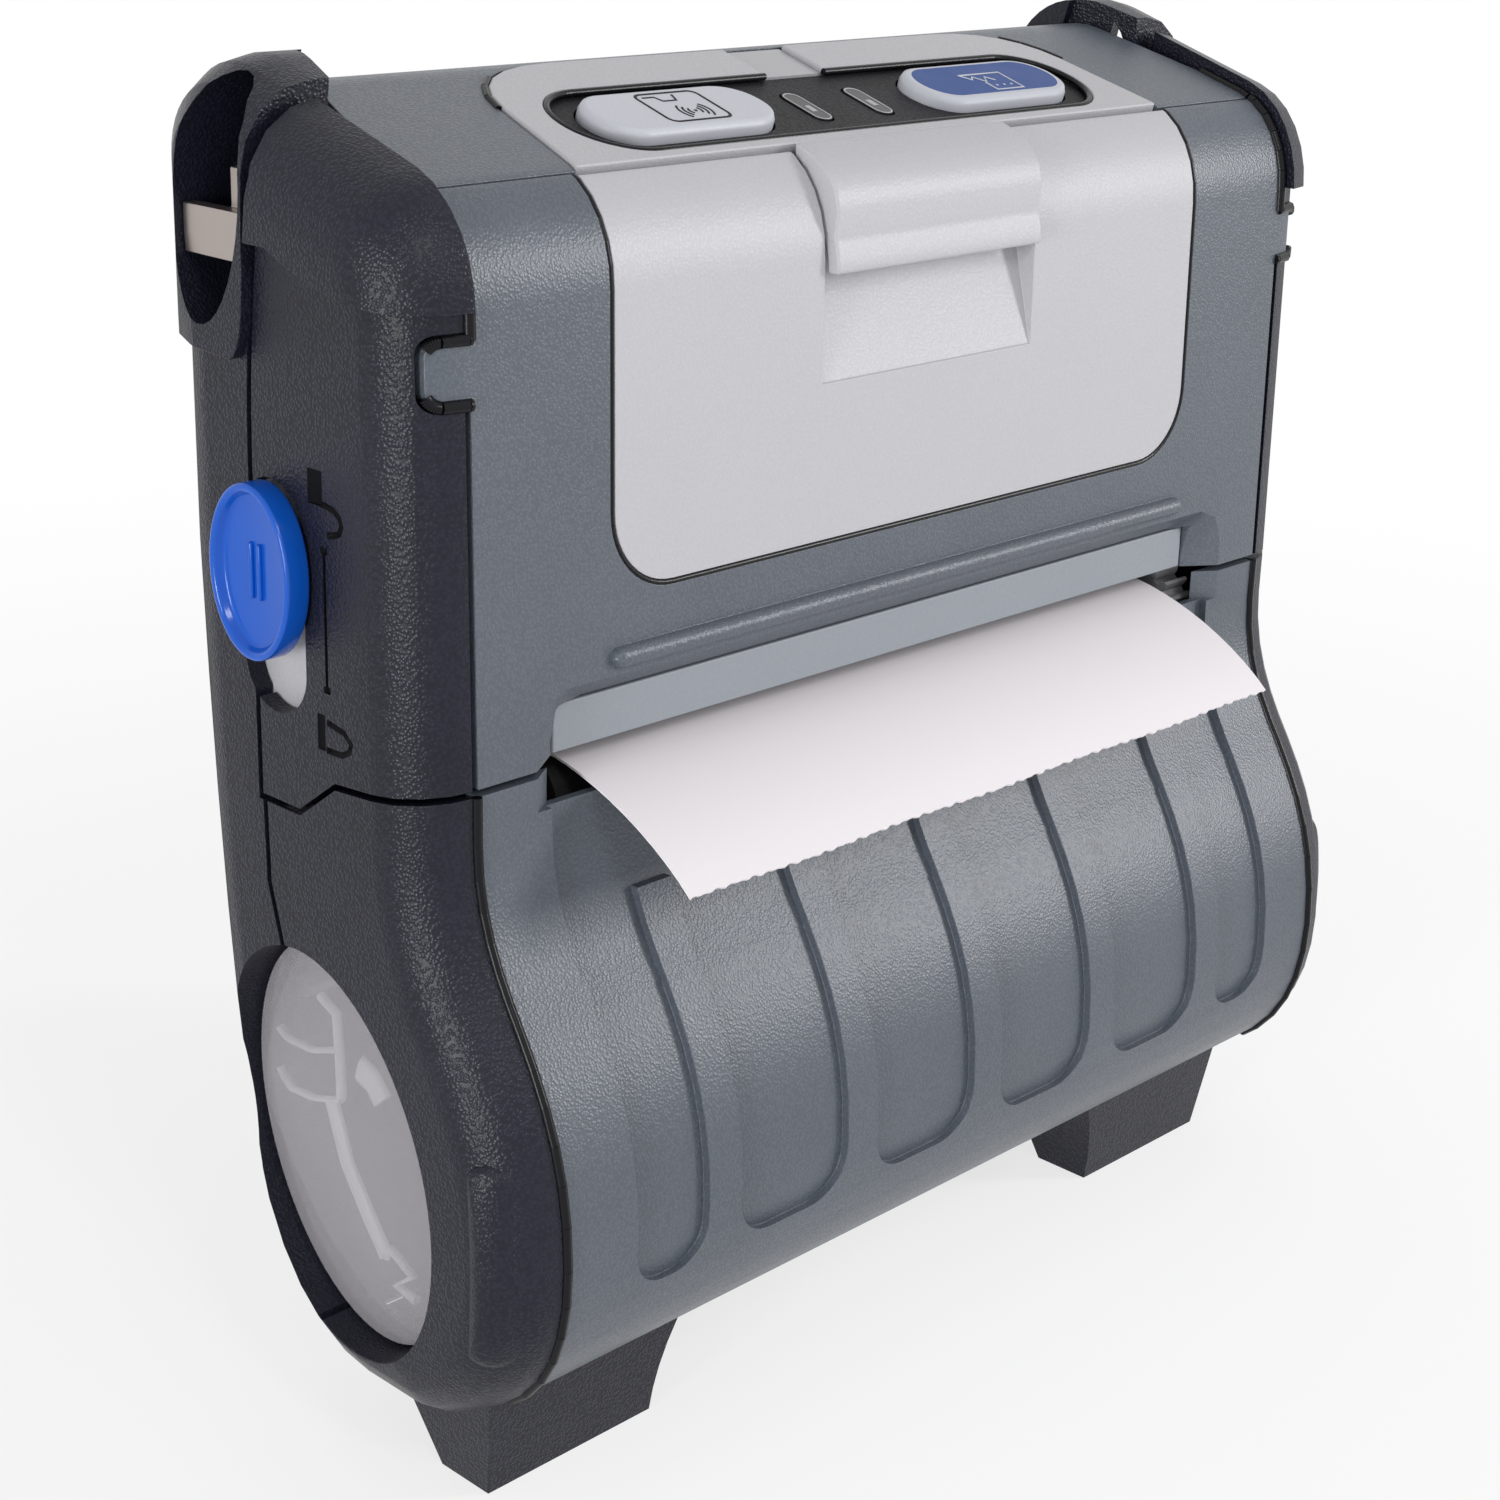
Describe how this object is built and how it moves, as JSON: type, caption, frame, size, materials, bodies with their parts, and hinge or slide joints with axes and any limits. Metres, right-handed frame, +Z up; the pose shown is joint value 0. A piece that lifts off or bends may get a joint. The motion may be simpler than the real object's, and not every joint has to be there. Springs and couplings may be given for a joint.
{
  "type": "portable barcode printer",
  "caption": "Handheld thermal label printer: two-tone case with a hinged media cover, oval windows, slanted front tray door, keypad, side latch, strap loops and a working platen drive.",
  "frame": {"origin": "centre of the bounding box in plan, on the plane that the front feet and rear heels stand on", "axes": "+X to the right of someone facing the front cover, +Y from the front cover to the back, +Z up"},
  "size_m": [0.1678, 0.0612, 0.1662],
  "materials": {
    "dark_plastic": "fine matt grain",
    "grey_plastic": "fine matt grain",
    "light_plastic": "fine satin grain",
    "keypad_plastic": "smooth satin",
    "pale_button": "satin",
    "blue_button": "printed face, satin",
    "latch_plastic": "polished",
    "led_lens": "smooth, unlit",
    "smoked_window": "polished, half clear",
    "clear_window": "clear moulded plastic",
    "nickel": "nickel plated",
    "steel": "plain",
    "tear_metal": "smooth satin",
    "aluminium": "extruded",
    "platen_rubber": "ground matt",
    "bush_plastic": "smooth",
    "arm_plastic": "milky, half clear",
    "frame_plastic": "as moulded",
    "battery_plastic": "as moulded",
    "circuit_board": "green solder resist",
    "head_ceramic": "glazed",
    "paper": "coated white",
    "cardboard": "raw board"
  },
  "bodies": {
    "chassis": {"rear_housing": "dark_plastic", "left_side_cover": "dark_plastic", "right_side_cover": "dark_plastic", "front_cover": "grey_plastic", "top_cover": "grey_plastic", "control_bezel": "light_plastic", "infrared_window": "smoked_window", "keypad_plate": "keypad_plastic", "status_led_left": "led_lens", "status_led_right": "led_lens", "button_board": "circuit_board", "print_head": "head_ceramic", "head_heat_sink": "aluminium", "head_spring_left": "steel", "head_spring_right": "steel", "tear_bar": "tear_metal", "inner_frame": "frame_plastic", "battery_pack": "battery_plastic", "main_board": "circuit_board", "case_screw_lower_left": "steel", "case_screw_upper_left": "steel", "case_screw_lower_right": "steel", "case_screw_upper_right": "steel", "gear_plate": "steel", "stepper_motor": "steel", "arm_guide_rod": "steel", "strap_post_left": "nickel", "strap_post_right": "nickel", "hinge_pin_left": "steel", "hinge_pin_right": "steel", "latch_spring": "steel", "label_web": "paper"},
    "media_cover": {"media_cover_frame": "dark_plastic", "media_cover_shell": "grey_plastic", "window_left": "clear_window", "window_right": "clear_window", "platen_bush_left": "bush_plastic", "platen_bush_right": "bush_plastic", "label_strip": "paper"},
    "platen": {"platen_shaft": "steel", "platen_rubber": "platen_rubber", "platen_gear": "light_plastic"},
    "idler": {"idler_gear": "light_plastic"},
    "pinion": {"motor_pinion": "steel"},
    "media_roll": {"paper_roll": "paper", "roll_core": "cardboard"},
    "arm_left": {"media_arm_left": "arm_plastic"},
    "arm_right": {"media_arm_right": "arm_plastic"},
    "latch": {"latch_button": "latch_plastic", "latch_slider": "light_plastic"},
    "feed_key": {"feed_button": "pale_button"},
    "power_key": {"power_button": "blue_button"},
    "battery_flap": {"battery_door": "light_plastic"},
    "flap_tab": {"door_tab": "light_plastic"}
  },
  "joints": [
    {"name": "media_cover_hinge", "type": "hinge", "parent": "chassis", "child": "media_cover", "pos_m": [0, 0.00623, 0.0143], "axis": [1, 0, 0], "range_deg": [0, 85]},
    {"name": "platen_spin", "type": "hinge", "parent": "media_cover", "child": "platen", "pos_m": [0, -0.00327, 0.0828], "axis": [1, 0, 0], "continuous": true},
    {"name": "idler_spin", "type": "hinge", "parent": "chassis", "child": "idler", "pos_m": [0, 0.01137, 0.08152], "axis": [1, 0, 0], "continuous": true},
    {"name": "pinion_spin", "type": "hinge", "parent": "chassis", "child": "pinion", "pos_m": [0, 0.01583, 0.09255], "axis": [1, 0, 0], "continuous": true},
    {"name": "roll_spin", "type": "hinge", "parent": "chassis", "child": "media_roll", "pos_m": [0, -0.00177, 0.043], "axis": [1, 0, 0], "continuous": true},
    {"name": "arm_left_slide", "type": "slide", "parent": "chassis", "child": "arm_left", "axis": [-1, 0, 0], "range_m": [0, 0.006], "stiffness_N_per_m": 60, "springref_m": -0.004},
    {"name": "arm_right_slide", "type": "slide", "parent": "chassis", "child": "arm_right", "axis": [1, 0, 0], "range_m": [0, 0.006], "stiffness_N_per_m": 60, "springref_m": -0.004},
    {"name": "latch_slide", "type": "slide", "parent": "chassis", "child": "latch", "axis": [0, 0, -1], "range_m": [0, 0.007], "stiffness_N_per_m": 200, "springref_m": -0.002},
    {"name": "feed_press", "type": "slide", "parent": "chassis", "child": "feed_key", "axis": [0, 0.3017, -0.9534], "range_m": [0, 0.0008], "stiffness_N_per_m": 400, "springref_m": -0.001},
    {"name": "power_press", "type": "slide", "parent": "chassis", "child": "power_key", "axis": [0, 0.3017, -0.9534], "range_m": [0, 0.0008], "stiffness_N_per_m": 400, "springref_m": -0.001},
    {"name": "battery_door_hinge", "type": "hinge", "parent": "chassis", "child": "battery_flap", "pos_m": [0, -0.01457, 0.1093], "axis": [1, 0, 0], "range_deg": [0, 85]},
    {"name": "door_tab_hinge", "type": "hinge", "parent": "battery_flap", "child": "flap_tab", "pos_m": [0, -0.00777, 0.155], "axis": [-1, 0, 0], "range_deg": [0, 12], "stiffness_Nm_per_rad": 0.1, "springref_deg": -2.86}
  ],
  "couplings": [
    {"joint": "idler_spin", "follows": "platen_spin", "ratio": -0.90909},
    {"joint": "pinion_spin", "follows": "platen_spin", "ratio": 1.6667},
    {"joint": "arm_right_slide", "follows": "arm_left_slide", "ratio": 1}
  ]
}
